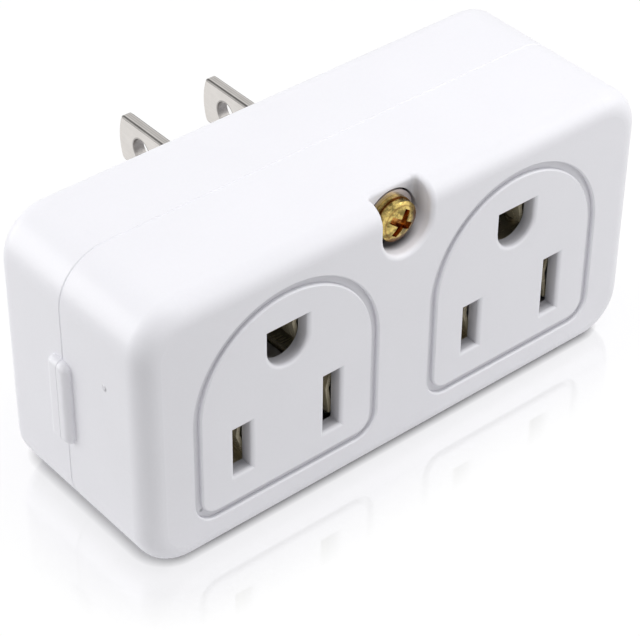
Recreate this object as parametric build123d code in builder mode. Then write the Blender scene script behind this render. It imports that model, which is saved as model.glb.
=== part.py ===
from build123d import *
import math
import os

os.makedirs("parts", exist_ok=True)

# Two-outlet wall adapter: a flat two-blade plug at the back and two grounded sockets at the front.
# The origin lies on the back face, midway between the blades. +Y points into the wall, +Z is up.
# All sizes are in millimetres.

# Plug blades
blade_spacing = 12.7
blade_thickness = 1.5
blade_height = 6.35
blade_reach = 18.0
blade_tip_depth = 0.6
blade_tip_radius = 0.8
blade_edge_bevel = 0.25
blade_hole_diameter = 3.2
blade_hole_from_tip = 4.55
blade_root_length = 5.0
blade_shoulder = 0.6
blade_fit = 0.05

# Sockets, to the usual three-pin outlet
socket_pitch = 33.6
socket_blade_spacing = 12.7
ground_rise = 11.89
live_pin_height = 6.35
neutral_pin_height = 7.92
ground_pin_diameter = 4.8
ground_pin_clearance = 0.7
ground_hole_rise = 2.55
ground_hole_drop = 0.35
slot_side_clearance = 0.95
slot_end_clearance = 0.16
slot_lead_in = 0.5

# Raised-arch groove round each socket, and the margins that it leaves on the face
ring_width = 25.8
ring_drop = 7.8
ring_corner_radius = 3.0
ring_groove_width = 0.9
ring_groove_depth = 0.55
ring_groove_edge = 0.18
ring_base_margin = 4.65
ring_top_margin = 3.95
ring_side_margin = 6.55

# Moulded housing in two halves
plug_height = 23.4
front_depth = 14.3
rear_depth = 11.9
corner_radius = 6.0
front_edge_radius = 2.6
rear_edge_radius = 2.2
wall = 1.8
parting_bevel = 0.12
lip_thickness = 0.9
lip_height = 1.2
lip_clearance = 0.1
shelf_thickness = 1.2
shelf_end_gap = 0.5
shelf_opening_clearance = 0.5
support_rib = 1.2
guide_rib = 1.2
guide_rib_height = 2.6

# Finger rib on each side, half of it on each housing
finger_rib_height = 11.3
finger_rib_front_width = 1.5
finger_rib_rear_width = 2.0
finger_rib_proud = 1.0
finger_rib_corner = 1.0
finger_rib_edge = 0.85
finger_rib_seam = 0.06
finger_rib_centre = 17.2

# Housing screws from the back
boss_inset = 5.6
boss_radius = 3.6
screw_radius = 1.3
screw_clearance = 0.25
screw_pilot_fit = 0.05
screw_bite = 8.0
screw_head_radius = 2.4
screw_head_height = 1.7
screw_head_rim = 0.6
screw_recess_clearance = 0.25
screw_recess_depth = 3.2
screw_drive_length = 2.6
screw_drive_width = 0.6
screw_drive_depth = 0.8
pilot_floor = 1.5

# Contact metal
strip_thickness = 0.8
strip_width = 8.0
strip_setback = 2.4
strip_end = 3.0
live_strip_drop = 5.0
neutral_strip_gap = 0.955
tongue_width = 5.4
ear_width = 4.5
ear_height = 6.0
ear_rivet_inset = 2.0
bend_radius = 0.4

# Spring clips
clip_thickness = 0.5
clip_length = 9.0
clip_setback = 0.3
clip_pinch = 1.24
clip_base = 4.4
clip_mouth = 2.4
clip_gap = 0.3
clip_bend = 0.6
ground_clip_pinch = 4.4
ground_clip_base = 6.0
ground_clip_mouth = 5.6
ground_clip_below = 2.6
ground_pin_headroom = 0.2

# Rivets
rivet_radius = 0.75
rivet_fit = 0.03
rivet_head_radius = 1.2
rivet_head_height = 0.45

# Earth terminal
earth_clearance = 1.25
earth_below_top = 4.11
earth_screw_radius = 1.5
earth_screw_length = 6.0
earth_thread_fit = 0.04
earth_head_radius = 2.5
earth_head_height = 1.5
earth_head_rim = 0.85
earth_cross_length = 3.5
earth_cross_width = 0.95
earth_cross_depth = 1.0
earth_cross_turn = 55
drive_taper = 12
earth_washer_radius = 2.65
earth_washer_hole = 1.65
earth_washer_thickness = 0.6
earth_pocket_width = 6.9
earth_pocket_depth = 3.1
earth_pocket_corner = 0.6
earth_pocket_edge = 0.6
earth_pad_rim = 1.2
earth_window_gap = 0.25

# Sizes and places that follow from the sockets and their margins
depth = front_depth + rear_depth
width = socket_pitch + ring_width + 2 * ring_side_margin
base_z = -plug_height
slot_z = base_z + ring_base_margin + ring_drop
ground_z = slot_z + ground_rise
socket_xs = (-socket_pitch / 2, socket_pitch / 2)
live_xs = [x - socket_blade_spacing / 2 for x in socket_xs]
neutral_xs = [x + socket_blade_spacing / 2 for x in socket_xs]
live_blade_x = -blade_spacing / 2
neutral_blade_x = blade_spacing / 2

# Places of the contact strips
slot_width = blade_thickness + slot_side_clearance
ground_hole_width = ground_pin_diameter + ground_pin_clearance
live_strip_top = slot_z - live_strip_drop
live_strip_z = live_strip_top - strip_thickness
neutral_strip_top = -blade_height / 2 - blade_shoulder - neutral_strip_gap
neutral_strip_z = neutral_strip_top - strip_thickness
ground_clip_rise = ground_pin_diameter / 2 + ground_pin_headroom + rivet_head_height + clip_thickness
ground_strip_z = ground_z + ground_clip_rise
ground_strip_top = ground_strip_z + strip_thickness
clip_front = wall + clip_setback
clip_outer = clip_base + 2 * clip_thickness
ground_clip_outer = ground_clip_base + 2 * clip_thickness
strip_front = wall + strip_setback
strip_rear = strip_front + strip_width
rivet_depth = clip_front + clip_length / 2
root_front = depth - wall - blade_root_length
ear_rear = root_front + ear_width
shelf_rear = front_depth - lip_height - lip_clearance - shelf_end_gap

# Places of the earth terminal, of the housing's top above it and of the housing screws
earth_z = ground_strip_top + earth_clearance + earth_screw_radius
top_z = earth_z + earth_below_top
height = top_z - base_z
middle_z = base_z + height / 2
ring_rise = top_z - ring_top_margin - slot_z
earth_window_radius = earth_pocket_width / 2
earth_tab_radius = earth_window_radius - earth_window_gap
boss_span_x = width - 2 * boss_inset
boss_span_z = height - 2 * boss_inset
screw_length = rear_depth - screw_recess_depth + screw_bite


def face_plane(behind_front):
    """Upright plane facing forwards, a distance behind the front face, in X and Z."""
    return Plane.XZ.offset(depth - behind_front)


def level_y(behind_front):
    """Y of a depth behind the front face."""
    return behind_front - depth


def housing_outline(inset, mode=Mode.ADD):
    """Rounded outline of the housing seen from the front, drawn smaller by an inset."""
    with Locations((0, middle_z)):
        RectangleRounded(width - 2 * inset, height - 2 * inset, corner_radius - inset, mode=mode)


def ring_outline(inset, mode=Mode.ADD):
    """Arched outline round one socket, about the middle of its slots."""
    half = ring_width / 2 - inset
    low = inset - ring_drop
    corner = ring_corner_radius - inset
    arch = ring_rise - ring_width / 2
    with BuildLine() as outline:
        Line((-half, arch), (-half, low + corner))
        RadiusArc((-half, low + corner), (-half + corner, low), -corner)
        Line((-half + corner, low), (half - corner, low))
        RadiusArc((half - corner, low), (half, low + corner), -corner)
        Line((half, low + corner), (half, arch))
        ThreePointArc((half, arch), (0, arch + half), (-half, arch))
    make_face(outline.edges(), mode=mode)


def slot_profiles():
    """Blade slots and U-shaped ground holes of both sockets."""
    with Locations(*[(x, slot_z) for x in live_xs]):
        Rectangle(slot_width, live_pin_height + slot_end_clearance)
    with Locations(*[(x, slot_z) for x in neutral_xs]):
        Rectangle(slot_width, neutral_pin_height + slot_end_clearance)
    with Locations(*[(x, ground_z - ground_hole_drop) for x in socket_xs]):
        Circle(ground_hole_width / 2)
        Rectangle(ground_hole_width, ground_hole_rise + ground_hole_drop, align=(Align.CENTER, Align.MIN))


def finger_rib(builder, side, start, end, parting):
    """Half of the finger rib on one side, between two depths, rounded except along the parting line."""
    with BuildSketch(Plane.YZ.offset(side * (width / 2 - wall / 2))) as profile:
        with Locations((level_y(start), base_z + finger_rib_centre)):
            Rectangle(end - start, finger_rib_height, align=(Align.MIN, Align.CENTER))
        corners = profile.vertices().filter_by(lambda corner: abs(corner.X - level_y(parting)) > 0.01)
        fillet(corners, finger_rib_corner)
    extrude(profile.sketch, amount=side * (finger_rib_proud + wall / 2))
    rib_edges = builder.faces().sort_by(Axis.X)[-1 if side > 0 else 0].edges()
    seam = rib_edges.filter_by(lambda edge: abs(edge.center().Y - level_y(parting)) < 0.01)
    fillet(rib_edges - seam, finger_rib_edge)
    seam = builder.faces().sort_by(Axis.X)[-1 if side > 0 else 0].edges()
    chamfer(seam.filter_by(lambda edge: abs(edge.center().Y - level_y(parting)) < 0.01), finger_rib_seam)


def on_skin(edge):
    """Whether an edge's middle lies on the front face, the top or the rounding between them."""
    middle = edge @ 0.5
    ahead = level_y(front_edge_radius) - middle.Y
    above = middle.Z - top_z + front_edge_radius
    reach = math.hypot(ahead, above) if ahead > 0 and above > 0 else max(ahead, above)
    return abs(reach - front_edge_radius) < 0.01


def at_pocket(edge):
    """Whether an edge's middle lies at the earth pocket."""
    middle = edge @ 0.5
    beside = abs(middle.X) - earth_pocket_width / 2
    below = earth_z - earth_pocket_width / 2 - middle.Z
    behind = middle.Y - level_y(earth_pocket_depth)
    return max(beside, below, behind) < 0.01


def shelf_profile(clip_xs, clip_outer_width):
    """Level shelf behind the front wall, open towards the back where clips pass through it."""
    with Locations((0, level_y(wall / 2))):
        Rectangle(width - wall, shelf_rear - wall / 2, align=(Align.CENTER, Align.MIN))
    opening = clip_outer_width + 2 * shelf_opening_clearance
    with Locations(*[(x, level_y(wall)) for x in clip_xs]):
        Rectangle(opening, depth, align=(Align.CENTER, Align.MIN), mode=Mode.SUBTRACT)


def finish(builder, label):
    """Name a finished piece and write it out."""
    builder.part.label = label
    export_step(builder.part, f"parts/{label}.step")


# Front housing: a cup with the socket face, the earth pocket, two shelves and four screw bosses
with BuildPart() as front_housing:
    with BuildSketch(face_plane(0)):
        housing_outline(0)
    extrude(amount=-front_depth)
    fillet(front_housing.faces().sort_by(Axis.Y)[0].edges(), front_edge_radius)
    chamfer(front_housing.faces().sort_by(Axis.Y)[-1].edges(), parting_bevel)
    # Inside of the cup
    with BuildSketch(face_plane(front_depth)):
        housing_outline(wall)
    extrude(amount=front_depth - wall, mode=Mode.SUBTRACT)
    # Shelves that carry the neutral and the ground strip
    with BuildSketch(Plane.XY.offset(neutral_strip_z)):
        shelf_profile(neutral_xs, clip_outer)
    extrude(amount=-shelf_thickness)
    with BuildSketch(Plane.XY.offset(ground_strip_z)):
        shelf_profile(socket_xs, ground_clip_outer)
    extrude(amount=-shelf_thickness)
    # Ribs on the floor that carry the live strip
    with BuildSketch(Plane.XY.offset(live_strip_z)):
        with Locations((socket_xs[0], level_y(wall / 2)), (0, level_y(wall / 2))):
            Rectangle(support_rib, shelf_rear - wall / 2, align=(Align.CENTER, Align.MIN))
    extrude(amount=base_z + wall / 2 - live_strip_z)
    # Pad behind the front wall that holds the earth tab
    pad_foot = earth_z - earth_pocket_width / 2 - earth_pad_rim
    with BuildSketch(face_plane(wall / 2)):
        with Locations((0, pad_foot)):
            pad_width = earth_pocket_width + 2 * earth_pad_rim
            Rectangle(pad_width, top_z - wall / 2 - pad_foot, align=(Align.CENTER, Align.MIN))
    extrude(amount=wall / 2 - earth_pocket_depth - strip_thickness)
    # Blade slots and ground holes with their lead-in
    with BuildSketch(face_plane(0)):
        slot_profiles()
    extrude(amount=-wall, mode=Mode.SUBTRACT)
    socket_face = front_housing.faces().filter_by(Axis.Y).sort_by(Axis.Y)[0]
    flat_top = ground_z + ground_hole_rise
    lead_in_edges = [e for w in socket_face.inner_wires() for e in w.edges()]
    fillet([e for e in lead_in_edges if e.center().Z < flat_top - slot_lead_in / 2], slot_lead_in)
    # Groove round each socket
    for x in socket_xs:
        with BuildSketch(Plane(origin=(x, -depth, slot_z), x_dir=(1, 0, 0), z_dir=(0, -1, 0))):
            ring_outline(0)
            ring_outline(ring_groove_width, mode=Mode.SUBTRACT)
        extrude(amount=-ring_groove_depth, mode=Mode.SUBTRACT)
    face_parts = front_housing.faces().filter_by(Axis.Y).group_by(Axis.Y)[0].sort_by(SortBy.AREA)
    groove_rims = face_parts[-1].inner_wires() + [island.outer_wire() for island in face_parts[:-1]]
    chamfer([e for w in groove_rims for e in w.edges()], ring_groove_edge)
    # Pocket for the earth screw, open at the top, with upright back corners and a soft rim
    with BuildSketch(face_plane(0)):
        with Locations((0, earth_z)):
            Circle(earth_pocket_width / 2)
            Rectangle(earth_pocket_width, earth_pocket_width, align=(Align.CENTER, Align.MIN))
    extrude(amount=-earth_pocket_depth, mode=Mode.SUBTRACT)
    pocket_edges = front_housing.edges().filter_by(at_pocket)
    upright = pocket_edges.filter_by(Axis.Z).group_by(Axis.Y)[-1]
    fillet(upright, earth_pocket_corner)
    fillet(front_housing.edges().filter_by(at_pocket).filter_by(on_skin), earth_pocket_edge)
    # Round-topped window in the back of the pocket, and the way in for the earth tab
    window_front = earth_pocket_depth - earth_pocket_corner
    with BuildSketch(face_plane(window_front)):
        with Locations((0, earth_z)):
            Circle(earth_window_radius)
    extrude(amount=window_front - front_depth, mode=Mode.SUBTRACT)
    with BuildSketch(face_plane(earth_pocket_depth)):
        with Locations((0, ground_strip_z)):
            Rectangle(2 * earth_window_radius, earth_z - ground_strip_z, align=(Align.CENTER, Align.MIN))
    extrude(amount=-strip_thickness, mode=Mode.SUBTRACT)
    # Screw bosses in the corners, and the step that takes the other half's lip
    with BuildSketch(face_plane(wall / 2)):
        with Locations((0, middle_z)):
            with GridLocations(boss_span_x, boss_span_z, 2, 2):
                Circle(boss_radius)
    extrude(amount=wall / 2 - front_depth)
    with BuildSketch(face_plane(front_depth)):
        housing_outline(wall - lip_thickness - lip_clearance)
        housing_outline(wall + lip_clearance, mode=Mode.SUBTRACT)
    extrude(amount=lip_height + lip_clearance, mode=Mode.SUBTRACT)
    with BuildSketch(face_plane(front_depth)):
        with Locations((0, middle_z)):
            with GridLocations(boss_span_x, boss_span_z, 2, 2):
                Circle(screw_radius + screw_pilot_fit)
    extrude(amount=front_depth - wall - pilot_floor, mode=Mode.SUBTRACT)
    # Front half of the finger rib on each side
    for side in (-1, 1):
        finger_rib(front_housing, side, front_depth - finger_rib_front_width, front_depth, front_depth)
finish(front_housing, "front_housing")

# Rear housing: a cup with the wall face, the blade slots and the counterbored screw bosses
with BuildPart() as rear_housing:
    with BuildSketch(Plane.XZ):
        housing_outline(0)
    extrude(amount=rear_depth)
    fillet(rear_housing.faces().sort_by(Axis.Y)[-1].edges(), rear_edge_radius)
    chamfer(rear_housing.faces().sort_by(Axis.Y)[0].edges(), parting_bevel)
    # Inside of the cup
    with BuildSketch(face_plane(front_depth)):
        housing_outline(wall)
    extrude(amount=wall - rear_depth, mode=Mode.SUBTRACT)
    # Lip that centres the two halves
    with BuildSketch(face_plane(front_depth + lip_height)):
        housing_outline(wall - lip_thickness)
        housing_outline(wall, mode=Mode.SUBTRACT)
    extrude(amount=2 * lip_height)
    # Slots for the plug blades
    with BuildSketch(Plane.XZ):
        with Locations((live_blade_x, 0), (neutral_blade_x, 0)):
            Rectangle(blade_thickness + 2 * blade_fit, blade_height + 2 * blade_fit)
    extrude(amount=wall, mode=Mode.SUBTRACT)
    # Guide ribs beside the blade roots
    with BuildSketch(face_plane(depth - wall / 2)):
        for x, inward in ((live_blade_x, 1), (neutral_blade_x, -1)):
            with Locations((x + inward * (blade_thickness / 2 + blade_fit + guide_rib / 2), 0)):
                Rectangle(guide_rib, blade_height / 2, align=(Align.CENTER, Align.MIN))
    extrude(amount=guide_rib_height + wall / 2)
    # Screw bosses with counterbored holes from the back
    with BuildSketch(face_plane(depth - wall / 2)):
        with Locations((0, middle_z)):
            with GridLocations(boss_span_x, boss_span_z, 2, 2):
                Circle(boss_radius)
    extrude(amount=rear_depth - wall / 2)
    with Locations(Plane(origin=(0, 0, middle_z), x_dir=(-1, 0, 0), z_dir=(0, 1, 0))):
        with GridLocations(boss_span_x, boss_span_z, 2, 2):
            CounterBoreHole(
                radius=screw_radius + screw_clearance,
                counter_bore_radius=screw_head_radius + screw_recess_clearance,
                counter_bore_depth=screw_recess_depth,
                depth=rear_depth,
            )
    # Rear half of the finger rib on each side
    for side in (-1, 1):
        finger_rib(rear_housing, side, front_depth, front_depth + finger_rib_rear_width, front_depth)
finish(rear_housing, "rear_housing")


def blade_profile(leg_bottom):
    """Side view of a blade: rounded tip, shoulders behind the wall, and a root down to leg_bottom."""
    half = blade_height / 2
    corner = blade_reach - blade_tip_depth
    with BuildLine() as outline:
        ThreePointArc((corner, half), (blade_reach, 0), (corner, -half))
        Polyline(
            (corner, -half),
            (-wall, -half),
            (-wall, leg_bottom),
            (level_y(root_front), leg_bottom),
            (level_y(root_front), half + blade_shoulder),
            (-wall, half + blade_shoulder),
            (-wall, half),
            (corner, half),
        )
    make_face(outline.edges())


def plug_blade(x, leg_bottom, rivet_z, label):
    """Flat stamped plug blade with bevelled edges, a hole near its tip and a rivet hole in its root."""
    with BuildPart() as blade:
        with BuildSketch(Plane.YZ.offset(x)) as profile:
            blade_profile(leg_bottom)
            fillet(profile.vertices().sort_by(Axis.X)[-2:], blade_tip_radius)
        extrude(amount=blade_thickness / 2, both=True)
        sides = blade.faces().filter_by(Axis.X)
        chamfer(sides.edges().filter_by(lambda edge: edge.center().Y > 0), blade_edge_bevel)
        with Locations(Plane.YZ.offset(x + blade_thickness / 2)):
            with Locations((blade_reach - blade_hole_from_tip, 0)):
                Hole(blade_hole_diameter / 2)
            with Locations((level_y(root_front + ear_width / 2), rivet_z)):
                Hole(rivet_radius + rivet_fit)
    finish(blade, label)


def edge_along(builder, axis, **place):
    """The edges that run along an axis through a place given by some of X, Y and Z."""
    tolerance = 0.01

    def lies_there(edge):
        middle = edge.center()
        return all(abs(getattr(middle, key) - value) < tolerance for key, value in place.items())

    return builder.edges().filter_by(axis).filter_by(lies_there)


def contact_strip(xs, strip_z, ear_x, ear_side, label):
    """Strip that joins the clips of both sockets, with a tongue and an ear beside a blade root."""
    left = min(xs) - strip_end
    right = max(xs) + strip_end
    strip_top = strip_z + strip_thickness
    with BuildPart() as strip:
        with BuildSketch(Plane.XY.offset(strip_z)):
            with Locations((left, level_y(strip_front))):
                Rectangle(right - left, strip_width, align=Align.MIN)
            relief = strip_thickness + bend_radius
            with Locations((ear_x + ear_side * (tongue_width + relief) / 2, level_y(strip_front))):
                Rectangle(tongue_width - relief, ear_rear - strip_front, align=(Align.CENTER, Align.MIN))
            with Locations((ear_x + ear_side * tongue_width / 2, level_y(root_front))):
                Rectangle(tongue_width, ear_width, align=(Align.CENTER, Align.MIN))
        extrude(amount=strip_thickness)
        with BuildSketch(Plane.XY.offset(strip_z)):
            with Locations((ear_x + ear_side * strip_thickness / 2, level_y(root_front))):
                Rectangle(strip_thickness, ear_width, align=(Align.CENTER, Align.MIN))
        extrude(amount=ear_height)
        fillet(edge_along(strip, Axis.Y, X=ear_x + ear_side * strip_thickness, Z=strip_top), bend_radius)
        fillet(edge_along(strip, Axis.Y, X=ear_x, Z=strip_z), bend_radius + strip_thickness)
        with Locations(*[(x, level_y(rivet_depth), strip_top) for x in xs]):
            Hole(rivet_radius + rivet_fit, depth=strip_thickness)
        with Locations(Plane.YZ.offset(max(ear_x, ear_x + ear_side * strip_thickness))):
            with Locations((level_y(root_front + ear_width / 2), strip_z + ear_height - ear_rivet_inset)):
                Hole(rivet_radius + rivet_fit, depth=strip_thickness)
    finish(strip, label)


def spring_clip(x, z, pinch, base, mouth, rise, reach, upright, label):
    """Bent spring clip: a flat base on its strip and two legs that pinch a pin and open at the mouth."""
    turn = 1 if upright else -1
    inner_rise = rise - clip_thickness
    with BuildPart() as clip:
        plane = Plane(origin=(x, level_y(clip_front), z), x_dir=(turn, 0, 0), z_dir=(0, -1, 0))
        with BuildSketch(plane):
            with BuildLine():
                legs = FilletPolyline(
                    (-mouth / 2, reach),
                    (-pinch / 2, 0),
                    (-base / 2, -inner_rise),
                    (base / 2, -inner_rise),
                    (pinch / 2, 0),
                    (mouth / 2, reach),
                    radius=clip_bend,
                )
                offset(legs, amount=clip_thickness, side=Side.RIGHT)
            make_face()
        extrude(amount=-clip_length)
        base_top = z - rise + clip_thickness if upright else z + rise
        with Locations((x, level_y(rivet_depth), base_top)):
            Hole(rivet_radius + rivet_fit, depth=clip_thickness)
    finish(clip, label)


def rivet(plane, grip):
    """Rivet with two flat heads, along the plane's y direction, through plates as thick as grip."""
    with BuildSketch(plane) as profile:
        with BuildLine():
            Polyline(
                (0, -rivet_head_height),
                (rivet_head_radius, -rivet_head_height),
                (rivet_head_radius, 0),
                (rivet_radius, 0),
                (rivet_radius, grip),
                (rivet_head_radius, grip),
                (rivet_head_radius, grip + rivet_head_height),
                (0, grip + rivet_head_height),
                (0, -rivet_head_height),
            )
        make_face()
    revolve(profile.sketch, axis=Axis(plane.origin, plane.y_dir))


def pan_screw(plane, head_radius, head_height, head_rim, shank_radius, length, drive):
    """Pan-head screw along the plane's y direction, with a crossed drive recess in its head."""
    drive_length, drive_width, drive_depth, drive_turn = drive
    with BuildSketch(plane) as profile:
        with BuildLine():
            TangentArc((0, -head_height), (head_radius, -head_rim), tangent=(1, 0))
            Polyline(
                (head_radius, -head_rim),
                (head_radius, 0),
                (shank_radius, 0),
                (shank_radius, length),
                (0, length),
                (0, -head_height),
            )
        make_face()
    revolve(profile.sketch, axis=Axis(plane.origin, plane.y_dir))
    head_top = plane.origin - plane.y_dir * head_height
    with BuildSketch(Plane(origin=head_top, x_dir=plane.x_dir, z_dir=-plane.y_dir)) as cross:
        Rectangle(drive_length, drive_width, rotation=drive_turn)
        Rectangle(drive_length, drive_width, rotation=drive_turn + 90)
    extrude(cross.sketch, amount=-drive_depth, taper=drive_taper, mode=Mode.SUBTRACT)


# Plug blades: the live root reaches down to the lowest strip, the neutral one stays above its strip
live_ear_x = live_blade_x - blade_thickness / 2
neutral_ear_x = neutral_blade_x + blade_thickness / 2
live_rivet_z = live_strip_z + ear_height - ear_rivet_inset
neutral_rivet_z = neutral_strip_z + ear_height - ear_rivet_inset
plug_blade(live_blade_x, live_strip_z, live_rivet_z, "live_blade")
plug_blade(neutral_blade_x, -blade_height / 2 - blade_shoulder, neutral_rivet_z, "neutral_blade")

# Strips that join the two sockets
contact_strip(live_xs, live_strip_z, live_ear_x, -1, "live_strip")
contact_strip(neutral_xs, neutral_strip_z, neutral_ear_x, 1, "neutral_strip")

with BuildPart() as ground_strip:
    with BuildSketch(Plane.XY.offset(ground_strip_z)):
        with Locations((0, level_y(strip_front))):
            Rectangle(socket_pitch + 2 * strip_end, strip_width, align=(Align.CENTER, Align.MIN))
        with Locations((0, level_y(earth_pocket_depth))):
            Rectangle(2 * earth_tab_radius, strip_rear - earth_pocket_depth, align=(Align.CENTER, Align.MIN))
    extrude(amount=strip_thickness)
    # Round-ended earth tab turned up behind the window of the front housing
    with BuildSketch(face_plane(earth_pocket_depth)):
        with Locations((0, earth_z)):
            Circle(earth_tab_radius)
            Rectangle(2 * earth_tab_radius, earth_z - ground_strip_z, align=(Align.CENTER, Align.MAX))
    extrude(amount=-strip_thickness)
    tab_front = level_y(earth_pocket_depth)
    tab_back = level_y(earth_pocket_depth + strip_thickness)
    fillet(edge_along(ground_strip, Axis.X, Y=tab_back, Z=ground_strip_top), bend_radius)
    fillet(edge_along(ground_strip, Axis.X, Y=tab_front, Z=ground_strip_z), bend_radius + strip_thickness)
    with Locations(*[(x, level_y(rivet_depth), ground_strip_top) for x in socket_xs]):
        Hole(rivet_radius + rivet_fit, depth=strip_thickness)
    with Locations(face_plane(earth_pocket_depth)):
        with Locations((0, earth_z)):
            Hole(earth_screw_radius + earth_thread_fit, depth=strip_thickness)
finish(ground_strip, "ground_strip")

# Spring clips: live ones stand on their strip, neutral and ground ones hang from theirs
neutral_rise = neutral_strip_z - slot_z
live_reach = neutral_rise - shelf_thickness - clip_gap
neutral_reach = live_strip_drop - shelf_thickness
for side, live_x, neutral_x, ground_x in zip(("left", "right"), live_xs, neutral_xs, socket_xs):
    spring_clip(
        live_x, slot_z, clip_pinch, clip_base, clip_mouth, live_strip_drop, live_reach, True,
        f"live_clip_{side}",
    )
    spring_clip(
        neutral_x, slot_z, clip_pinch, clip_base, clip_mouth, neutral_rise, neutral_reach, False,
        f"neutral_clip_{side}",
    )
    spring_clip(
        ground_x, ground_z, ground_clip_pinch, ground_clip_base, ground_clip_mouth, ground_clip_rise,
        ground_clip_below, False, f"ground_clip_{side}",
    )

# Rivets: one through each clip and its strip, one through each ear and its blade root
clip_grip = clip_thickness + strip_thickness
ear_grip = strip_thickness + blade_thickness
with BuildPart() as clip_rivets:
    for xs, low in (
        (live_xs, live_strip_z),
        (neutral_xs, neutral_strip_z - clip_thickness),
        (socket_xs, ground_strip_z - clip_thickness),
    ):
        for x in xs:
            foot = (x, level_y(rivet_depth), low)
            rivet(Plane(origin=foot, x_dir=(1, 0, 0), z_dir=(0, -1, 0)), clip_grip)
finish(clip_rivets, "clip_rivets")

with BuildPart() as blade_rivets:
    ear_middle = level_y(root_front + ear_width / 2)
    for x, z in (
        (live_ear_x - strip_thickness, live_rivet_z),
        (neutral_ear_x - blade_thickness, neutral_rivet_z),
    ):
        rivet(Plane(origin=(x, ear_middle, z), x_dir=(0, 1, 0), z_dir=(0, 0, -1)), ear_grip)
finish(blade_rivets, "blade_rivets")

# Earth terminal: washer and brass screw in the pocket
with BuildPart() as earth_washer:
    with BuildSketch(face_plane(earth_pocket_depth)):
        with Locations((0, earth_z)):
            Circle(earth_washer_radius)
            Circle(earth_washer_hole, mode=Mode.SUBTRACT)
    extrude(amount=earth_washer_thickness)
finish(earth_washer, "earth_washer")

with BuildPart() as earth_screw:
    head_seat = level_y(earth_pocket_depth - earth_washer_thickness)
    pan_screw(
        Plane(origin=(0, head_seat, earth_z), x_dir=(1, 0, 0), z_dir=(0, 0, 1)),
        earth_head_radius, earth_head_height, earth_head_rim, earth_screw_radius,
        earth_screw_length + earth_washer_thickness,
        (earth_cross_length, earth_cross_width, earth_cross_depth, earth_cross_turn),
    )
finish(earth_screw, "earth_screw")

# Screws that hold the two halves together
with BuildPart() as housing_screws:
    for x in (-boss_span_x / 2, boss_span_x / 2):
        for z in (middle_z - boss_span_z / 2, middle_z + boss_span_z / 2):
            pan_screw(
                Plane(origin=(x, -screw_recess_depth, z), x_dir=(1, 0, 0), z_dir=(0, 0, -1)),
                screw_head_radius, screw_head_height, screw_head_rim, screw_radius, screw_length,
                (screw_drive_length, screw_drive_width, screw_drive_depth, 0),
            )
finish(housing_screws, "housing_screws")
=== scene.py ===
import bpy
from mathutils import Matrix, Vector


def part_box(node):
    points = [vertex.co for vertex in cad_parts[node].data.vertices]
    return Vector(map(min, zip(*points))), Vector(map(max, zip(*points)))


bl_info = {
    "name": "Two-outlet wall adapter",
    "version": (1, 0, 0),
    "blender": (4, 5, 0),
    "location": "3D View > Sidebar > Adapter",
    "description": "Finishes and photo stage for a two-outlet wall adapter",
    "category": "Object",
}

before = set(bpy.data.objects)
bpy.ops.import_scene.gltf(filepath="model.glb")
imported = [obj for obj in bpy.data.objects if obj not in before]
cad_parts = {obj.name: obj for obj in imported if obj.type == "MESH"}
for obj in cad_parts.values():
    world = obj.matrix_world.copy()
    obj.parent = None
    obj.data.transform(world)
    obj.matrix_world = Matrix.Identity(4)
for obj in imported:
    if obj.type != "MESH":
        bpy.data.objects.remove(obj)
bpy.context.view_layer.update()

import math

import bpy
from bpy.props import FloatProperty, FloatVectorProperty, PointerProperty
from mathutils import Matrix, Vector

# Sizes from the frame
FRONT_LOW, FRONT_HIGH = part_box("front_housing")
REAR_LOW, REAR_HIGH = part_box("rear_housing")
BLADE_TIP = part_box("live_blade")[1].y
SCREW_LOW, SCREW_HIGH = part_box("earth_screw")
SCREW_X = (SCREW_LOW.x + SCREW_HIGH.x) / 2
SCREW_Z = (SCREW_LOW.z + SCREW_HIGH.z) / 2
HEAD_RADIUS = (SCREW_HIGH.x - SCREW_LOW.x) / 2
MIDDLE_Z = (FRONT_LOW.z + FRONT_HIGH.z) / 2
HALF_Z = (FRONT_HIGH.z - FRONT_LOW.z) / 2
MM = 0.001

# Sizes of the part that the finishes follow
BLADE_OFFSET = 6.35 * MM
BLADE_HALF_THICK = 0.75 * MM
BLADE_HALF_TALL = 3.175 * MM
BLADE_HOLE_FROM_TIP = 4.55 * MM
BLADE_HOLE_RADIUS = 1.6 * MM
HEAD_CROWN = 0.65 * MM
HEAD_SEAT = 1.42 * MM
POCKET_SIDE = 3.8 * MM
POCKET_BACK = (4.0 * MM, 5.0 * MM)

# Marks of the moulding: across, behind the socket face, above the base, radius
SPECKS = (
    (-21.4 * MM, 0.0, 34.2 * MM, 0.22 * MM),
    (-25.5 * MM, 0.0, 28.2 * MM, 0.20 * MM),
    (-28.7 * MM, 0.5 * MM, 6.3 * MM, 0.35 * MM),
)
PIP = (FRONT_LOW.x + 1.0 * MM, 6.67 * MM, 23.8 * MM, 0.45 * MM)

# Lamps: name, azimuth and elevation in degrees, distance, size, shown in gloss
LAMPS = (
    ("side_light", -135, 12, 0.30, 0.22, True),
    ("front_light", 50, 30, 0.20, 0.15, True),
    ("top_light", 20, 80, 0.40, 0.30, False),
)


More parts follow.
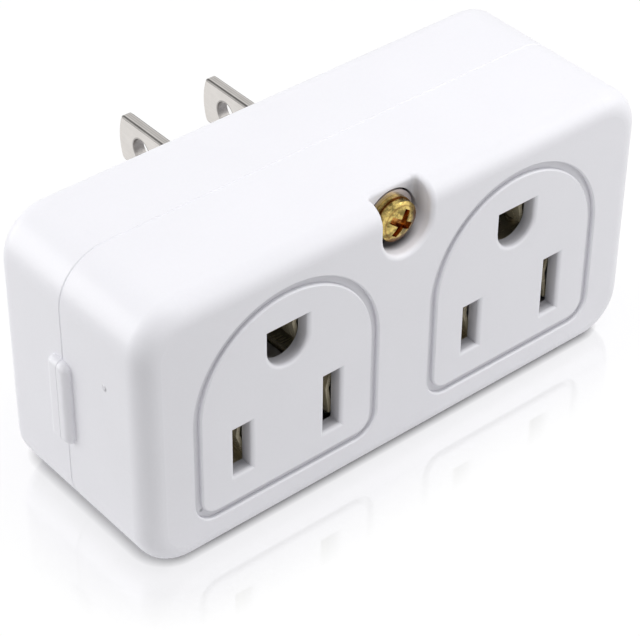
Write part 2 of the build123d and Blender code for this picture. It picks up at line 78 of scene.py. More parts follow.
class PlasticFinish(bpy.types.PropertyGroup):
    """White moulded plastic of the two housing halves"""

    colour: FloatVectorProperty(
        name="Colour", description="Colour of the moulded plastic",
        subtype="COLOR", size=4, default=(0.868, 0.864, 0.905, 1.0), min=0.0, max=1.0,
    )
    # Recess colour: painted shade deep in the grooves, slots and pocket, and under the screw's
    # head; the specks use it too
    recess: FloatVectorProperty(
        name="Recess colour", description="Colour deep in the grooves, slots and pocket",
        subtype="COLOR", size=4, default=(0.40, 0.40, 0.43, 1.0), min=0.0, max=1.0,
    )
    roughness: FloatProperty(
        name="Roughness", description="Mean roughness of the satin surface",
        default=0.34, min=0.0, max=1.0,
    )
    grain_size: FloatProperty(
        name="Grain size", description="Size of the fine mould texture",
        default=0.35 * MM, unit="LENGTH",
    )
    grain_height: FloatProperty(
        name="Grain height", description="Height of the fine mould texture",
        default=0.003 * MM, unit="LENGTH",
    )
    wave_size: FloatProperty(
        name="Wave size", description="Size of the slow sink waves in the walls",
        default=9.0 * MM, unit="LENGTH",
    )
    wave_height: FloatProperty(
        name="Wave height", description="Height of the slow sink waves",
        default=0.03 * MM, unit="LENGTH",
    )
    pip_height: FloatProperty(
        name="Pip height", description="Height of the moulding pip on the left side",
        default=0.25 * MM, unit="LENGTH",
    )


class MetalFinish(bpy.types.PropertyGroup):
    """Blades, contact metal and screws"""

    nickel: FloatVectorProperty(
        name="Nickel", description="Colour of the plated blades",
        subtype="COLOR", size=4, default=(0.75, 0.72, 0.69, 1.0), min=0.0, max=1.0,
    )
    tin: FloatVectorProperty(
        name="Tin", description="Colour of the plated earth tab",
        subtype="COLOR", size=4, default=(0.78, 0.71, 0.69, 1.0), min=0.0, max=1.0,
    )
    brass: FloatVectorProperty(
        name="Brass", description="Colour of the polished earth screw",
        subtype="COLOR", size=4, default=(0.76, 0.57, 0.19, 1.0), min=0.0, max=1.0,
    )
    # Shade brown: painted shade colour of the screw's dark lines and drive recess
    shade_brown: FloatVectorProperty(
        name="Shade brown", description="Colour of the screw's dark lines and drive recess",
        subtype="COLOR", size=4, default=(0.20, 0.07, 0.015, 1.0), min=0.0, max=1.0,
    )
    bronze: FloatVectorProperty(
        name="Bronze", description="Colour of the spring contacts",
        subtype="COLOR", size=4, default=(0.80, 0.72, 0.52, 1.0), min=0.0, max=1.0,
    )
    steel: FloatVectorProperty(
        name="Steel", description="Colour of the zinc-plated housing screws",
        subtype="COLOR", size=4, default=(0.56, 0.57, 0.58, 1.0), min=0.0, max=1.0,
    )
    streak_width: FloatProperty(
        name="Streak width", description="Width of the brushed streaks",
        default=0.12 * MM, unit="LENGTH",
    )
    streak_length: FloatProperty(
        name="Streak length", description="Length of the brushed streaks",
        default=3.0 * MM, unit="LENGTH",
    )


class StageSettings(bpy.types.PropertyGroup):
    """Camera, light and floor of the photo"""

    azimuth: FloatProperty(
        name="Azimuth", description="Camera direction round the object",
        default=math.radians(-40.224), subtype="ANGLE",
    )
    elevation: FloatProperty(
        name="Elevation", description="Camera height over the horizon",
        default=math.radians(38.676), subtype="ANGLE",
    )
    roll: FloatProperty(
        name="Roll", description="Camera turn about its own axis",
        default=math.radians(0.650), subtype="ANGLE",
    )
    distance: FloatProperty(
        name="Distance", description="Camera distance from the aim point",
        default=255.99 * MM, unit="LENGTH",
    )
    aim_x: FloatProperty(
        name="Aim across", description="Aim point on the front face, from the middle",
        default=-12.468 * MM, unit="LENGTH",
    )
    aim_height: FloatProperty(
        name="Aim height", description="Aim point on the front face, above the base",
        default=25.323 * MM, unit="LENGTH",
    )
    lens: FloatProperty(
        name="Lens", description="Focal length on a full-frame sensor",
        default=134.0, subtype="DISTANCE_CAMERA",
    )
    sky: FloatProperty(
        name="Sky", description="Even light from all sides", default=0.45, min=0.0,
    )
    side_light: FloatProperty(
        name="Side light", description="Soft light from behind on the left",
        default=0.43, min=0.0, unit="POWER",
    )
    front_light: FloatProperty(
        name="Front light", description="Soft light from the front right",
        default=0.10, min=0.0, unit="POWER",
    )
    top_light: FloatProperty(
        name="Top light", description="Soft light from above",
        default=0.83, min=0.0, unit="POWER",
    )
    floor_bounce: FloatProperty(
        name="Floor bounce", description="Share of light that the floor sends back up",
        default=0.65, min=0.0, max=1.0,
    )
    corner_bounce: FloatProperty(
        name="Corner bounce", description="Extra light that the floor sends up by the near corner",
        default=0.10, min=0.0, max=0.35,
    )
    floor_shade: FloatProperty(
        name="Floor shade", description="Share of the floor's look that the shadow dims",
        default=0.11, min=0.0, max=1.0,
    )
    floor_glow: FloatProperty(
        name="Floor glow", description="Even white of the floor as the camera sees it",
        default=0.90, min=0.0, max=1.0,
    )
    floor_gloss: FloatProperty(
        name="Floor gloss", description="Strength of the reflection close to the object",
        default=0.25, min=0.0, max=1.0,
    )
    # Contact width sets the painted contact shadow along the base
    contact_width: FloatProperty(
        name="Contact width", description="Width of the dark line where the base meets the floor",
        default=1.35 * MM, unit="LENGTH",
    )


# Node helpers
def node(tree, kind, inputs=None, **settings):
    """Add a node with its settings, its inputs fed by plain values or other nodes' sockets."""
    made = tree.nodes.new(kind)
    for name, value in settings.items():
        setattr(made, name, value)
    for name, value in (inputs or {}).items():
        if isinstance(value, bpy.types.NodeSocket):
            tree.links.new(value, made.inputs[name])
        else:
            made.inputs[name].default_value = value
    return made


def math_node(tree, operation, first, *others):
    """Result of one math operation, taken through all values or sockets in turn."""
    result = first
    for other in others:
        made = node(tree, "ShaderNodeMath", {0: result, 1: other}, operation=operation)
        result = made.outputs[0]
    return result


def product(tree, *values):
    """Product of values or sockets."""
    return math_node(tree, "MULTIPLY", *values)


def total(tree, *values):
    """Sum of values or sockets."""
    return math_node(tree, "ADD", *values)


def largest(tree, *values):
    """Largest of values or sockets."""
    return math_node(tree, "MAXIMUM", *values)


def less(tree, first, second):
    """First value or socket less the second."""
    return math_node(tree, "SUBTRACT", first, second)


def unsigned(tree, value):
    """Value without its sign."""
    return node(tree, "ShaderNodeMath", {0: value}, operation="ABSOLUTE").outputs[0]


def flat_length(tree, first, second):
    """Length of a flat vector."""
    flat = node(tree, "ShaderNodeCombineXYZ", {0: first, 1: second}).outputs[0]
    return node(tree, "ShaderNodeVectorMath", {0: flat}, operation="LENGTH").outputs["Value"]


def distance_between(tree, first, second):
    """Distance between two places."""
    made = node(tree, "ShaderNodeVectorMath", {0: first, 1: second}, operation="DISTANCE")
    return made.outputs["Value"]


def mix_colour(tree, factor, first, second):
    """Result of mixing two colours by a factor."""
    mixed = node(tree, "ShaderNodeMix", {0: factor, 6: first, 7: second}, data_type="RGBA")
    return mixed.outputs[2]


def mix_value(tree, factor, first, second):
    """Result of mixing two values by a factor."""
    mixed = node(tree, "ShaderNodeMix", {0: factor, 2: first, 3: second}, data_type="FLOAT")
    return mixed.outputs[0]


def spread(tree, value, low, high, new_low=0.0, new_high=1.0):
    """A value's range laid over a new range, with its ends held."""
    return node(
        tree, "ShaderNodeMapRange",
        {"Value": value, "From Min": low, "From Max": high, "To Min": new_low, "To Max": new_high},
    ).outputs[0]


def away_from(tree, value, middle):
    """Distance of a value from a middle."""
    return unsigned(tree, less(tree, value, middle))


def band(tree, value, middle, half, soft):
    """1 where a value lies within half of a middle, with a soft edge."""
    return spread(tree, away_from(tree, value, middle), half, half + soft, 1.0, 0.0)


def split(tree, vector):
    """X, Y and Z of a vector."""
    return node(tree, "ShaderNodeSeparateXYZ", {0: vector}).outputs


def surface_normal(tree):
    """X, Y and Z of the surface's normal."""
    return split(tree, node(tree, "ShaderNodeNewGeometry").outputs["Normal"])


def object_place(tree):
    """Position in the object's own frame, in metres."""
    return node(tree, "ShaderNodeTexCoord").outputs["Object"]


def noise(tree, place, scale, detail, roughness):
    """Noise from 0 to 1."""
    return node(
        tree, "ShaderNodeTexNoise",
        {"Vector": place, "Scale": scale, "Detail": detail, "Roughness": roughness},
    ).outputs[0]


def bumped(tree, height, strength=1.0, reach=1.0):
    """Normal tilted by a height."""
    return node(
        tree, "ShaderNodeBump", {"Strength": strength, "Distance": reach, "Height": height},
    ).outputs[0]


def dimmed(colour, share):
    """A colour taken down to a share of itself."""
    return [channel * share for channel in colour[:3]] + [1.0]


def feed(tree, shader, **sockets):
    """Link results to the shader's inputs, given with underscores for spaces."""
    for name, socket in sockets.items():
        tree.links.new(socket, shader.inputs[name.replace("_", " ")])


# Shader groups that finishes share
def new_group(name, inputs, outputs):
    """Empty shader group with named value or vector inputs and value outputs."""
    tree = bpy.data.node_groups.new(name, "ShaderNodeTree")
    for label, kind in inputs:
        tree.interface.new_socket(label, in_out="INPUT", socket_type=kind)
    for label in outputs:
        tree.interface.new_socket(label, in_out="OUTPUT", socket_type="NodeSocketFloat")
    return tree, tree.nodes.new("NodeGroupInput").outputs, tree.nodes.new("NodeGroupOutput").inputs


def grain_group():
    """Fine grain over slow waves, as a height in metres and an even tone from 0 to 1."""
    name = "Grain and waves"
    if name in bpy.data.node_groups:
        return bpy.data.node_groups[name]
    tree, given, result = new_group(
        name,
        (
            ("Position", "NodeSocketVector"),
            ("Grain Scale", "NodeSocketFloat"),
            ("Grain Height", "NodeSocketFloat"),
            ("Wave Scale", "NodeSocketFloat"),
            ("Wave Height", "NodeSocketFloat"),
        ),
        ("Height", "Tone"),
    )
    grain = noise(tree, given["Position"], given["Grain Scale"], 3.0, 0.6)
    wave = noise(tree, given["Position"], given["Wave Scale"], 1.0, 0.4)
    fine = product(tree, grain, given["Grain Height"])
    slow = product(tree, wave, given["Wave Height"])
    tree.links.new(total(tree, fine, slow), result["Height"])
    tree.links.new(product(tree, total(tree, grain, wave), 0.5), result["Tone"])
    return tree


def streak_group():
    """Brushed streaks along one axis, from 0 to 1, with broad stains across them."""
    name = "Brushed streaks"
    if name in bpy.data.node_groups:
        return bpy.data.node_groups[name]
    tree, given, result = new_group(
        name,
        (
            ("Position", "NodeSocketVector"),
            ("Scale", "NodeSocketVector"),
            ("Stain Scale", "NodeSocketFloat"),
        ),
        ("Streak", "Stain"),
    )
    drawn = node(
        tree, "ShaderNodeVectorMath", {0: given["Position"], 1: given["Scale"]},
        operation="MULTIPLY",
    ).outputs[0]
    tree.links.new(noise(tree, drawn, 1.0, 4.0, 0.65), result["Streak"])
    stain = noise(tree, given["Position"], given["Stain Scale"], 3.0, 0.55)
    tree.links.new(stain, result["Stain"])
    return tree


def spot_group():
    """Round spot at a place, 1 in its middle and 0 outside its radius."""
    name = "Round spot"
    if name in bpy.data.node_groups:
        return bpy.data.node_groups[name]
    tree, given, result = new_group(
        name,
        (
            ("Position", "NodeSocketVector"),
            ("Centre", "NodeSocketVector"),
            ("Radius", "NodeSocketFloat"),
        ),
        ("Spot",),
    )
    away = distance_between(tree, given["Position"], given["Centre"])
    share = math_node(tree, "DIVIDE", away, given["Radius"])
    soft_spot = node(
        tree, "ShaderNodeMapRange",
        {"Value": share, "From Min": 1.0, "From Max": 0.2, "To Min": 0.0, "To Max": 1.0},
        interpolation_type="SMOOTHSTEP",
    ).outputs[0]
    tree.links.new(soft_spot, result["Spot"])
    return tree


def grain_over_waves(tree, place, grain_size, grain_height, wave_size, wave_height):
    """Height and tone of fine grain over slow waves."""
    placed = node(
        tree, "ShaderNodeGroup",
        {
            "Position": place,
            "Grain Scale": 1.0 / grain_size,
            "Grain Height": grain_height,
            "Wave Scale": 1.0 / wave_size,
            "Wave Height": wave_height,
        },
        node_tree=grain_group(),
    )
    return placed.outputs["Height"], placed.outputs["Tone"]


def spot(tree, place, centre, radius):
    """Mask of a round spot at a place in the object's frame."""
    return node(
        tree, "ShaderNodeGroup", {"Position": place, "Centre": centre, "Radius": radius},
        node_tree=spot_group(),
    ).outputs["Spot"]


# Finishes
def new_material(name):
    """Material with a lone Principled shader, and its tree."""
    material = bpy.data.materials.new(name)
    material.use_nodes = True
    tree = material.node_tree
    tree.nodes.clear()
    shader = tree.nodes.new("ShaderNodeBsdfPrincipled")
    output = tree.nodes.new("ShaderNodeOutputMaterial")
    tree.links.new(shader.outputs[0], output.inputs["Surface"])
    return material, tree, shader


def face_shade(tree, axes, depth):
    """Shade down the grooves, slots and holes of the socket face, by depth behind it."""
    groove = spread(tree, depth, 0.10 * MM, 0.45 * MM, 0.0, 0.12)
    slot = spread(tree, depth, 0.30 * MM, 1.7 * MM, 0.0, 0.72)
    ledge = product(
        tree,
        spread(tree, depth, 0.03 * MM, 0.25 * MM),
        spread(tree, surface_normal(tree)[2], 0.2, 0.7, 0.0, 0.4),
    )
    margin_x = 5.0 * MM
    margin_z = 3.4 * MM
    soft = 0.4 * MM
    beside = unsigned(tree, axes[0])
    return product(
        tree,
        total(tree, groove, slot, ledge),
        band(tree, axes[0], 0.0, FRONT_HIGH.x - margin_x, soft),
        spread(tree, beside, POCKET_SIDE - 0.1 * MM, POCKET_SIDE + 0.1 * MM),
        band(tree, axes[2], MIDDLE_Z, HALF_Z - margin_z, soft),
        spread(tree, depth, 12.0 * MM, 13.0 * MM, 1.0, 0.0),
    )


def pocket_shade(tree, axes, depth):
    """Shade down the right-hand side of the earth pocket."""
    top = FRONT_HIGH.z
    return product(
        tree,
        spread(tree, depth, 1.2 * MM, 3.2 * MM, 0.0, 0.6),
        spread(tree, axes[0], 0.5 * MM, 2.5 * MM),
        spread(tree, axes[0], POCKET_SIDE + 0.4 * MM, POCKET_SIDE + 0.1 * MM),
        spread(tree, axes[2], top - 8.0 * MM, top - 3.0 * MM),
        spread(tree, axes[2], top - 1.4 * MM, top - 0.4 * MM, 1.0, 0.0),
        spread(tree, depth, *POCKET_BACK, 1.0, 0.0),
    )


def from_screw(tree, axes):
    """How far a point lies beside and above the earth screw's axis."""
    return less(tree, axes[0], SCREW_X), less(tree, axes[2], SCREW_Z)


def screw_shade(tree, axes, depth):
    """Painted shadow: a dark crescent on the pocket's walls just under the earth screw's head."""
    reach = flat_length(tree, *from_screw(tree, axes))
    return product(
        tree,
        spread(tree, depth, 1.2 * MM, 2.4 * MM),
        spread(tree, depth, *POCKET_BACK, 1.0, 0.0),
        spread(tree, reach, HEAD_RADIUS + 2.2 * MM, HEAD_RADIUS + 1.2 * MM),
        spread(tree, axes[2], SCREW_Z - 1.8 * MM, SCREW_Z - 3.2 * MM),
    )


def mark(tree, place, across, behind, above, radius):
    """Mask of a moulding mark, placed from the middle, the socket face and the base."""
    return spot(tree, place, (across, FRONT_LOW.y + behind, FRONT_LOW.z + above), radius)


def moulded_plastic(finish):
    """Satin white plastic with grain, sink waves, shaded recesses, a pip and a few specks."""
    material, tree, shader = new_material("moulded white plastic")
    place = object_place(tree)
    axes = split(tree, place)
    depth = less(tree, axes[1], FRONT_LOW.y)
    height, tone = grain_over_waves(
        tree, place, finish.grain_size, finish.grain_height, finish.wave_size, finish.wave_height,
    )
    cloud = spread(tree, tone, 0.3, 0.7)
    # Painted shade: the grooves, slots, ledges and earth pocket are darkened towards the recess
    # colour
    recess = largest(tree, face_shade(tree, axes, depth), pocket_shade(tree, axes, depth))
    colour = mix_colour(tree, cloud, dimmed(finish.colour, 0.975), tuple(finish.colour))
    colour = mix_colour(tree, recess, colour, tuple(finish.recess))
    # Painted shadow: the crescent under the screw's head is darkened further
    colour = mix_colour(tree, screw_shade(tree, axes, depth), colour, dimmed(finish.recess, 0.3))
    for speck in SPECKS:
        dust = product(tree, mark(tree, place, *speck), 0.7)
        colour = mix_colour(tree, dust, colour, dimmed(finish.recess, 0.6))
    height = total(tree, height, product(tree, mark(tree, place, *PIP), finish.pip_height))
    vary = 0.04
    rough = spread(tree, tone, 0.3, 0.7, finish.roughness + vary, finish.roughness - vary)
    shader.inputs["IOR"].default_value = 1.5
    feed(tree, shader, Base_Color=colour, Roughness=rough, Normal=bumped(tree, height))
    return material


def streak_scale(metal, axis):
    """Noise scale that draws streaks out along one axis."""
    scale = [1.0 / metal.streak_width] * 3
    scale[axis] = 1.0 / metal.streak_length
    return scale


def brushed_metal(name, colour, dark, roughness, scale, stain_size, edges=None, metallic=1.0):
    """Metal with brushed streaks and stains; edges may darken its colour further."""
    material, tree, shader = new_material(name)
    place = object_place(tree)
    streaks = node(
        tree, "ShaderNodeGroup",
        {"Position": place, "Scale": scale, "Stain Scale": 1.0 / stain_size},
        node_tree=streak_group(),
    ).outputs
    streak = spread(tree, streaks["Streak"], 0.3, 0.7)
    stain = spread(tree, streaks["Stain"], 0.35, 0.7)
    worn = product(tree, total(tree, streak, stain), 0.5)
    shown = mix_colour(tree, worn, dimmed(colour, dark), tuple(colour))
    if edges is not None:
        # The edge mask may hold painted shade lines, as on the blades
        edge_share = edges(tree, split(tree, place))
        shown = mix_colour(tree, edge_share, shown, dimmed(colour, 0.08))
    rough = spread(tree, worn, 0.0, 1.0, roughness + 0.1, roughness - 0.06)
    normal = bumped(tree, streaks["Streak"], 0.5, 0.002 * MM)
    shader.inputs["Metallic"].default_value = metallic
    feed(tree, shader, Base_Color=shown, Roughness=rough, Normal=normal)
    return material


def blade_edges(tree, axes):
    """Grey sheared edges of a blade, with painted shade lines along its corners and round its
    hole.
    """
    sideways = unsigned(tree, surface_normal(tree)[0])
    edge = spread(tree, sideways, 0.6, 0.4, 0.0, 0.20)
    thick, tall = BLADE_HALF_THICK, BLADE_HALF_TALL
    across = away_from(tree, unsigned(tree, axes[0]), BLADE_OFFSET)
    above = unsigned(tree, axes[2])
    # Painted shade: dark lines along the blade's corners
    corner = product(
        tree,
        spread(tree, across, thick - 0.34 * MM, thick - 0.25 * MM),
        spread(tree, above, tall - 0.34 * MM, tall - 0.25 * MM),
        spread(tree, above, tall - 0.17 * MM, tall - 0.10 * MM, 0.78, 1.0),
    )
    line, soft = 0.05 * MM, 0.10 * MM
    # Painted shade: dark line along the edge faces
    edge_shade_line = product(tree, edge, band(tree, across, 0.15 * MM, line, soft))
    along = less(tree, axes[1], BLADE_TIP - BLADE_HOLE_FROM_TIP)
    reach = flat_length(tree, along, above)
    # Painted shade: dark ring round the blade's hole
    ring = product(tree, band(tree, reach, BLADE_HOLE_RADIUS + 0.06 * MM, line, soft), 0.45)
    return largest(tree, total(tree, edge, edge_shade_line), corner, ring)


def terminal_brass(metal):
    """Mottled brass with painted shade: red-brown in the drive recess, dark at the seat, a ring
    and the lower rim, and a darker neck.
    """
    material, tree, shader = new_material("polished terminal brass")
    place = object_place(tree)
    axes = split(tree, place)
    height, grain = grain_over_waves(tree, place, 0.35 * MM, 0.01 * MM, 0.9 * MM, 0.10 * MM)
    tone = spread(tree, grain, 0.40, 0.60)
    beside, above = from_screw(tree, axes)
    reach = flat_length(tree, beside, above)
    low_right = less(tree, product(tree, beside, 0.6), product(tree, above, 0.8))
    behind = less(tree, axes[1], SCREW_LOW.y)
    crown_radius = (HEAD_RADIUS ** 2 + HEAD_CROWN ** 2) / (2 * HEAD_CROWN)
    crown_middle = (SCREW_X, SCREW_LOW.y + crown_radius, SCREW_Z)
    from_middle = distance_between(tree, place, crown_middle)
    # Painted shade: the drive recess is coloured a dark red-brown
    recess = product(
        tree,
        spread(tree, from_middle, crown_radius - 0.04 * MM, crown_radius - 0.12 * MM),
        spread(tree, reach, HEAD_RADIUS - 0.35 * MM, HEAD_RADIUS - 0.45 * MM),
    )
    # Painted shade: dark lines at the head's lower right rim, a ring and the seat
    rim = product(
        tree,
        spread(tree, reach, HEAD_RADIUS - 0.80 * MM, HEAD_RADIUS - 0.40 * MM),
        spread(tree, low_right, -0.1 * HEAD_RADIUS, 0.5 * HEAD_RADIUS),
        spread(tree, behind, HEAD_CROWN + 0.9 * MM, HEAD_CROWN + 0.6 * MM),
    )
    soft = 0.10 * MM
    ring = product(tree, band(tree, reach, HEAD_RADIUS - 0.42 * MM, 0.03 * MM, soft), 0.5)
    seat = band(tree, behind, HEAD_SEAT, 0.10 * MM, soft)
    lines = product(tree, largest(tree, rim, ring, seat), 0.9)
    # Painted shade: the neck behind the head is darkened
    neck = spread(tree, behind, 1.3 * MM, 1.6 * MM, 0.0, 0.55)
    recess_shade_brown = mix_colour(tree, tone, tuple(metal.shade_brown), (0.62, 0.30, 0.07, 1.0))
    shown = mix_colour(tree, tone, dimmed(metal.brass, 0.28), tuple(metal.brass))
    shown = mix_colour(tree, lines, shown, tuple(metal.shade_brown))
    shown = mix_colour(tree, neck, shown, dimmed(metal.brass, 0.25))
    shown = mix_colour(tree, recess, shown, recess_shade_brown)
    rough = spread(tree, tone, 0.0, 1.0, 0.28, 0.16)
    shader.inputs["Metallic"].default_value = 1.0
    feed(tree, shader, Base_Color=shown, Roughness=rough, Normal=bumped(tree, height))
    return material


# Pieces
def dress(names, material):
    """Give CAD nodes a material in every slot."""
    for name in names:
        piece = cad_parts[name]
        if not piece.material_slots:
            piece.data.materials.append(material)
        for slot in piece.material_slots:
            slot.material = material


class ADAPTER_OT_housing(bpy.types.Operator):
    """Finish both halves of the housing in moulded white plastic"""

    bl_idname = "adapter.housing"
    bl_label = "Housing"

    def execute(self, context):
        plastic = moulded_plastic(context.scene.adapter_plastic)
        dress(("front_housing", "rear_housing"), plastic)
        return {"FINISHED"}


class ADAPTER_OT_blades(bpy.types.Operator):
    """Finish the plug blades in brushed nickel with sheared edges"""

    bl_idname = "adapter.blades"
    bl_label = "Plug blades"

    def execute(self, context):
        metal = context.scene.adapter_metal
        nickel = brushed_metal(
            "plated blade", metal.nickel, dark=0.86, roughness=0.34,
            scale=streak_scale(metal, 1), stain_size=2.5 * MM, edges=blade_edges,
        )
        dress(("live_blade", "neutral_blade"), nickel)
        return {"FINISHED"}


class ADAPTER_OT_contacts(bpy.types.Operator):
    """Finish the strips, spring clips and rivets inside"""

    bl_idname = "adapter.contacts"
    bl_label = "Contacts"

    def execute(self, context):
        metal = context.scene.adapter_metal
        bronze = brushed_metal(
            "spring bronze", metal.bronze, dark=0.7, roughness=0.22,
            scale=streak_scale(metal, 0), stain_size=1.5 * MM, metallic=0.4,
        )
        plated = brushed_metal(
            "plated strip", metal.tin, dark=0.86, roughness=0.36,
            scale=streak_scale(metal, 0), stain_size=2.0 * MM,
        )
        springs = [
            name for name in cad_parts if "_clip_" in name or name.endswith("_rivets")
        ]
        dress(springs + ["live_strip", "neutral_strip"], bronze)
        dress(["ground_strip"], plated)
        return {"FINISHED"}


class ADAPTER_OT_earth_terminal(bpy.types.Operator):
    """Finish the earth screw and its washer in polished brass"""

    bl_idname = "adapter.earth_terminal"
    bl_label = "Earth terminal"

    def execute(self, context):
        brass = terminal_brass(context.scene.adapter_metal)
        dress(("earth_screw", "earth_washer"), brass)
        return {"FINISHED"}


class ADAPTER_OT_housing_screws(bpy.types.Operator):
    """Finish the housing screws in zinc-plated steel"""

    bl_idname = "adapter.housing_screws"
    bl_label = "Housing screws"

    def execute(self, context):
        metal = context.scene.adapter_metal
        steel = brushed_metal(
            "zinc-plated steel", metal.steel, dark=0.8, roughness=0.32,
            scale=streak_scale(metal, 2), stain_size=1.0 * MM,
        )
        dress(("housing_screws",), steel)
        return {"FINISHED"}


# Photo stage
def direction(azimuth, elevation):
    """Unit vector from the object towards an azimuth and elevation; azimuth 0 is in front."""
    level = math.cos(elevation)
    return Vector((math.sin(azimuth) * level, -math.cos(azimuth) * level, math.sin(elevation)))


def seen_directly(tree):
    """1 for rays that show the backdrop: from the camera, and through gloss and glass."""
    path = node(tree, "ShaderNodeLightPath").outputs
    return largest(
        tree, path["Is Camera Ray"], path["Is Glossy Ray"], path["Is Transmission Ray"],
    )


def add_camera(stage):
    """Camera at the photo's viewing angle."""
    aim = Vector((stage.aim_x, FRONT_LOW.y, FRONT_LOW.z + stage.aim_height))
    back = direction(stage.azimuth, stage.elevation)
    across = (-back).cross(Vector((0, 0, 1))).normalized()
    up = across.cross(-back)
    turn = Matrix((across, up, back)).transposed() @ Matrix.Rotation(stage.roll, 3, "Z")
    bpy.ops.object.camera_add()
    camera = bpy.context.object
    camera.name = "photo_camera"
    camera.matrix_world = Matrix.Translation(aim + back * stage.distance) @ turn.to_4x4()
    camera.data.lens = stage.lens
    camera.data.clip_start = 0.01
    bpy.context.scene.camera = camera


def add_soft_light(name, azimuth, elevation, distance, size, mirrored, power):
    """Broad soft light close to the object on one side; gloss need not mirror it."""
    towards = direction(math.radians(azimuth), math.radians(elevation))
    middle = Vector((0.0, (FRONT_LOW.y + REAR_HIGH.y) / 2, MIDDLE_Z))
    bpy.ops.object.light_add(type="AREA")
    lamp = bpy.context.object
    lamp.name = name
    lamp.data.energy = power
    lamp.data.size = size
    lamp.location = middle + towards * distance
    lamp.rotation_euler = towards.to_track_quat("Z", "Y").to_euler()
    lamp.visible_camera = False
    lamp.visible_glossy = mirrored


def outside_base(tree, axes):
    """Distance on the floor from the round-cornered strip that the base hides."""
    turn = 3.5 * MM
    half_x = FRONT_HIGH.x - 3.35 * MM - turn
    front_y = FRONT_LOW.y + 1.5 * MM
    rear_y = REAR_HIGH.y + 1.0 * MM
    half_y = (rear_y - front_y) / 2 - turn
    middle_y = (rear_y + front_y) / 2
    beside = less(tree, unsigned(tree, axes[0]), half_x)
    ahead = less(tree, away_from(tree, axes[1], middle_y), half_y)
    reach = flat_length(tree, largest(tree, beside, 0.0), largest(tree, ahead, 0.0))
    return largest(tree, less(tree, reach, turn), 0.0)


def floor_material(stage):
    """White floor that keeps a soft shadow, with a painted contact shadow along the base, and
    mirrors the object faintly close by.
    """
    material = bpy.data.materials.new("white floor")
    material.use_nodes = True
    tree = material.node_tree
    tree.nodes.clear()
    direct = seen_directly(tree)
    place = object_place(tree)
    axes = split(tree, place)
    away = outside_base(tree, axes)
    corner = (REAR_LOW.x + 2.0 * MM, FRONT_LOW.y + 1.0 * MM, 0.0)
    near_corner = spot(tree, place, corner, 26.0 * MM)
    bounce = total(tree, product(tree, near_corner, stage.corner_bounce), stage.floor_bounce)
    shade = mix_value(tree, direct, bounce, stage.floor_shade)
    paper = node(tree, "ShaderNodeBsdfDiffuse", {"Color": shade})
    # Painted contact shadow: the floor's glow is dimmed close to the base, less so at the left end
    line = spread(
        tree, axes[0], FRONT_LOW.x + 4.0 * MM, FRONT_LOW.x + 12.0 * MM,
        0.42 * stage.floor_glow, 0.12 * stage.floor_glow,
    )
    clear = spread(tree, away, 0.0, stage.contact_width, line, stage.floor_glow)
    lit = node(tree, "ShaderNodeEmission", {"Strength": product(tree, direct, clear)})
    base = node(tree, "ShaderNodeAddShader", {0: paper.outputs[0], 1: lit.outputs[0]})
    mirror = node(
        tree, "ShaderNodeBsdfGlossy", {"Color": (0.95, 0.94, 1.0, 1.0), "Roughness": 0.04},
    )
    near = spread(tree, away, 5.5 * MM, 11.5 * MM, stage.floor_gloss, 0.0)
    mixed = node(
        tree, "ShaderNodeMixShader", {0: near, 1: base.outputs[0], 2: mirror.outputs[0]},
    )
    output = tree.nodes.new("ShaderNodeOutputMaterial")
    tree.links.new(mixed.outputs[0], output.inputs["Surface"])
    return material


def add_floor(stage):
    """Wide pale floor just under the base."""
    gap = 0.02 * MM
    bpy.ops.mesh.primitive_plane_add(size=6.0, location=(0, 0, FRONT_LOW.z - gap))
    floor = bpy.context.object
    floor.name = "floor"
    floor.data.materials.append(floor_material(stage))


def add_sky(stage):
    """Even sky light that shows as a white backdrop."""
    world = bpy.data.worlds.new("studio sky")
    world.use_nodes = True
    tree = world.node_tree
    tree.nodes.clear()
    strength = mix_value(tree, seen_directly(tree), stage.sky, 1.0)
    background = node(
        tree, "ShaderNodeBackground", {"Color": (1, 1, 1, 1), "Strength": strength},
    )
    output = tree.nodes.new("ShaderNodeOutputWorld")
    tree.links.new(background.outputs[0], output.inputs["Surface"])
    bpy.context.scene.world = world


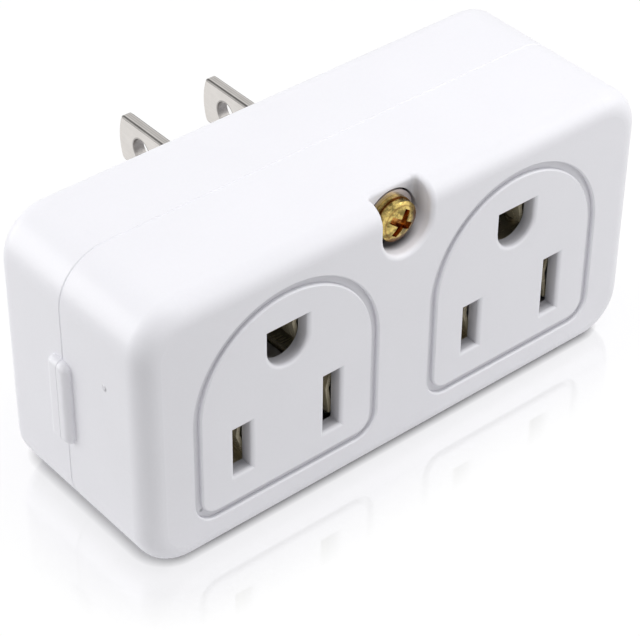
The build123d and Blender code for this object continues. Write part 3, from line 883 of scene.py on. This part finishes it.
class ADAPTER_OT_stage(bpy.types.Operator):
    """Set up the camera, the lights, the floor and the backdrop"""

    bl_idname = "adapter.stage"
    bl_label = "Photo stage"

    def execute(self, context):
        stage = context.scene.adapter_stage
        bpy.ops.object.select_all(action="DESELECT")
        add_camera(stage)
        for lamp in LAMPS:
            add_soft_light(*lamp, power=getattr(stage, lamp[0]))
        add_floor(stage)
        add_sky(stage)
        context.scene.view_settings.view_transform = "Standard"
        return {"FINISHED"}


class ADAPTER_PT_panel(bpy.types.Panel):
    """Buttons and sizes of the adapter"""

    bl_label = "Wall adapter"
    bl_idname = "ADAPTER_PT_panel"
    bl_space_type = "VIEW_3D"
    bl_region_type = "UI"
    bl_category = "Adapter"

    def draw(self, context):
        scene = context.scene
        for operator in OPERATORS:
            self.layout.operator(operator.bl_idname)
        for settings in (scene.adapter_plastic, scene.adapter_metal, scene.adapter_stage):
            box = self.layout.box()
            for name in settings.__annotations__:
                box.prop(settings, name)


GROUPS = {
    "adapter_plastic": PlasticFinish,
    "adapter_metal": MetalFinish,
    "adapter_stage": StageSettings,
}
OPERATORS = (
    ADAPTER_OT_housing,
    ADAPTER_OT_blades,
    ADAPTER_OT_contacts,
    ADAPTER_OT_earth_terminal,
    ADAPTER_OT_housing_screws,
    ADAPTER_OT_stage,
)


def register():
    for group in GROUPS.values():
        bpy.utils.register_class(group)
    for name, group in GROUPS.items():
        setattr(bpy.types.Scene, name, PointerProperty(type=group))
    for operator in OPERATORS:
        bpy.utils.register_class(operator)
    bpy.utils.register_class(ADAPTER_PT_panel)


def unregister():
    bpy.utils.unregister_class(ADAPTER_PT_panel)
    for operator in reversed(OPERATORS):
        bpy.utils.unregister_class(operator)
    for name, group in reversed(GROUPS.items()):
        delattr(bpy.types.Scene, name)
        bpy.utils.unregister_class(group)


def main():
    register()
    bpy.ops.adapter.housing()
    bpy.ops.adapter.blades()
    bpy.ops.adapter.contacts()
    bpy.ops.adapter.earth_terminal()
    bpy.ops.adapter.housing_screws()
    bpy.ops.adapter.stage()


if __name__ == "__main__":
    main()
